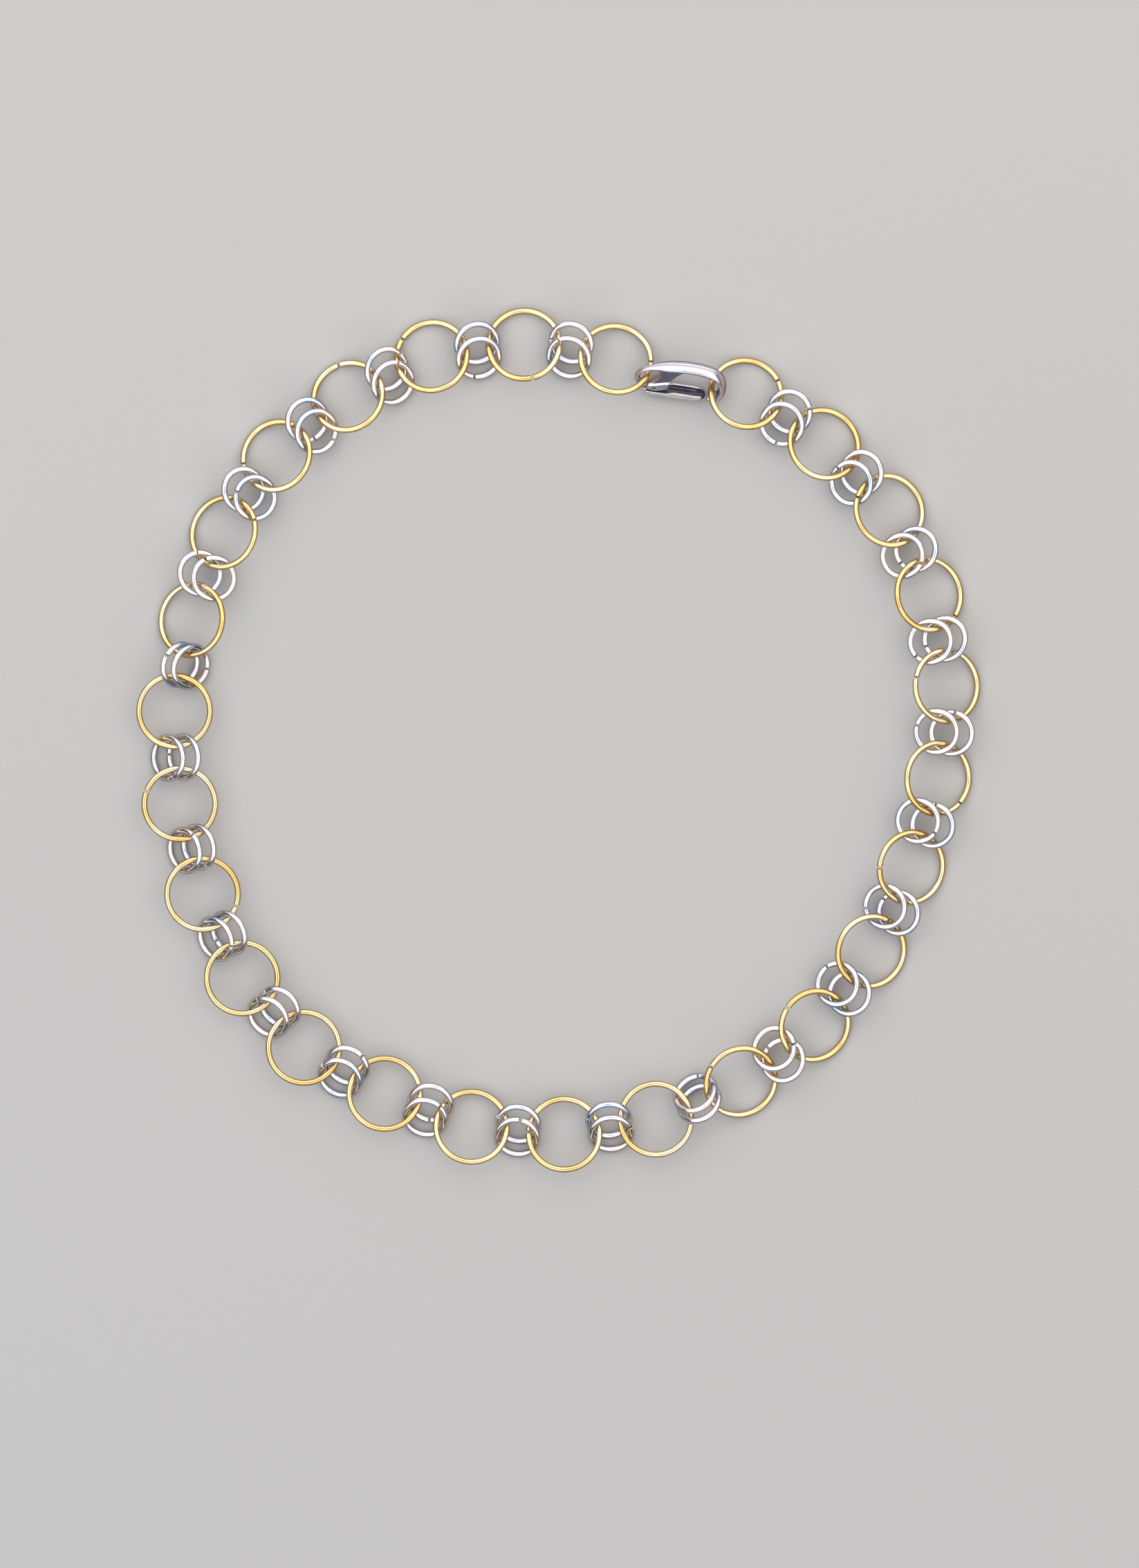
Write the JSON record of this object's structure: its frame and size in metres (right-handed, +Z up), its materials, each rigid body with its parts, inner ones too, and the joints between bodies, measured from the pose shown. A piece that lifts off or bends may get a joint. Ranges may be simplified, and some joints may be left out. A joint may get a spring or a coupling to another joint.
{
  "type": "chainmail necklace",
  "caption": "Chainmail necklace of large gold-coloured jump rings joined by pairs of small silver-coloured rings, closed with a lobster-claw clasp and laid flat in a loop.",
  "frame": {"origin": "on the surface that the necklace lies on, below the middle of its overall box", "axes": "+Z up off the surface, +Y towards the clasp's side of the loop, +X to the right seen from above"},
  "size_m": [0.1444, 0.148, 0.0071],
  "materials": {
    "gold_wire": "bright drawn wire, pale gold",
    "silver_wire": "bright silver-plated wire",
    "clasp_metal": "polished silver-plated casting",
    "lever_metal": "polished silver-plated pressing",
    "pin_metal": "bright rivet"
  },
  "bodies": {
    "necklace": {"gold_ring_01": "gold_wire", "gold_ring_02": "gold_wire", "gold_ring_03": "gold_wire", "gold_ring_04": "gold_wire", "gold_ring_05": "gold_wire", "gold_ring_06": "gold_wire", "gold_ring_07": "gold_wire", "gold_ring_08": "gold_wire", "gold_ring_09": "gold_wire", "gold_ring_10": "gold_wire", "gold_ring_11": "gold_wire", "gold_ring_12": "gold_wire", "gold_ring_13": "gold_wire", "gold_ring_14": "gold_wire", "gold_ring_15": "gold_wire", "gold_ring_16": "gold_wire", "gold_ring_17": "gold_wire", "gold_ring_18": "gold_wire", "gold_ring_19": "gold_wire", "gold_ring_20": "gold_wire", "gold_ring_21": "gold_wire", "gold_ring_22": "gold_wire", "gold_ring_23": "gold_wire", "gold_ring_24": "gold_wire", "gold_ring_25": "gold_wire", "gold_ring_26": "gold_wire", "silver_rings_left": "silver_wire", "silver_rings_right": "silver_wire", "clasp_body": "clasp_metal", "clasp_pin": "pin_metal"},
    "lever": {"clasp_lever": "lever_metal"}
  },
  "joints": [
    {"name": "lever_hinge", "type": "hinge", "parent": "necklace", "child": "lever", "pos_m": [0.01642, 0.06111, 0.0022], "axis": [-0.1267, -0.7555, 0.6428], "range_deg": [0, 20], "stiffness_Nm_per_rad": 0.01, "springref_deg": -17.19}
  ]
}
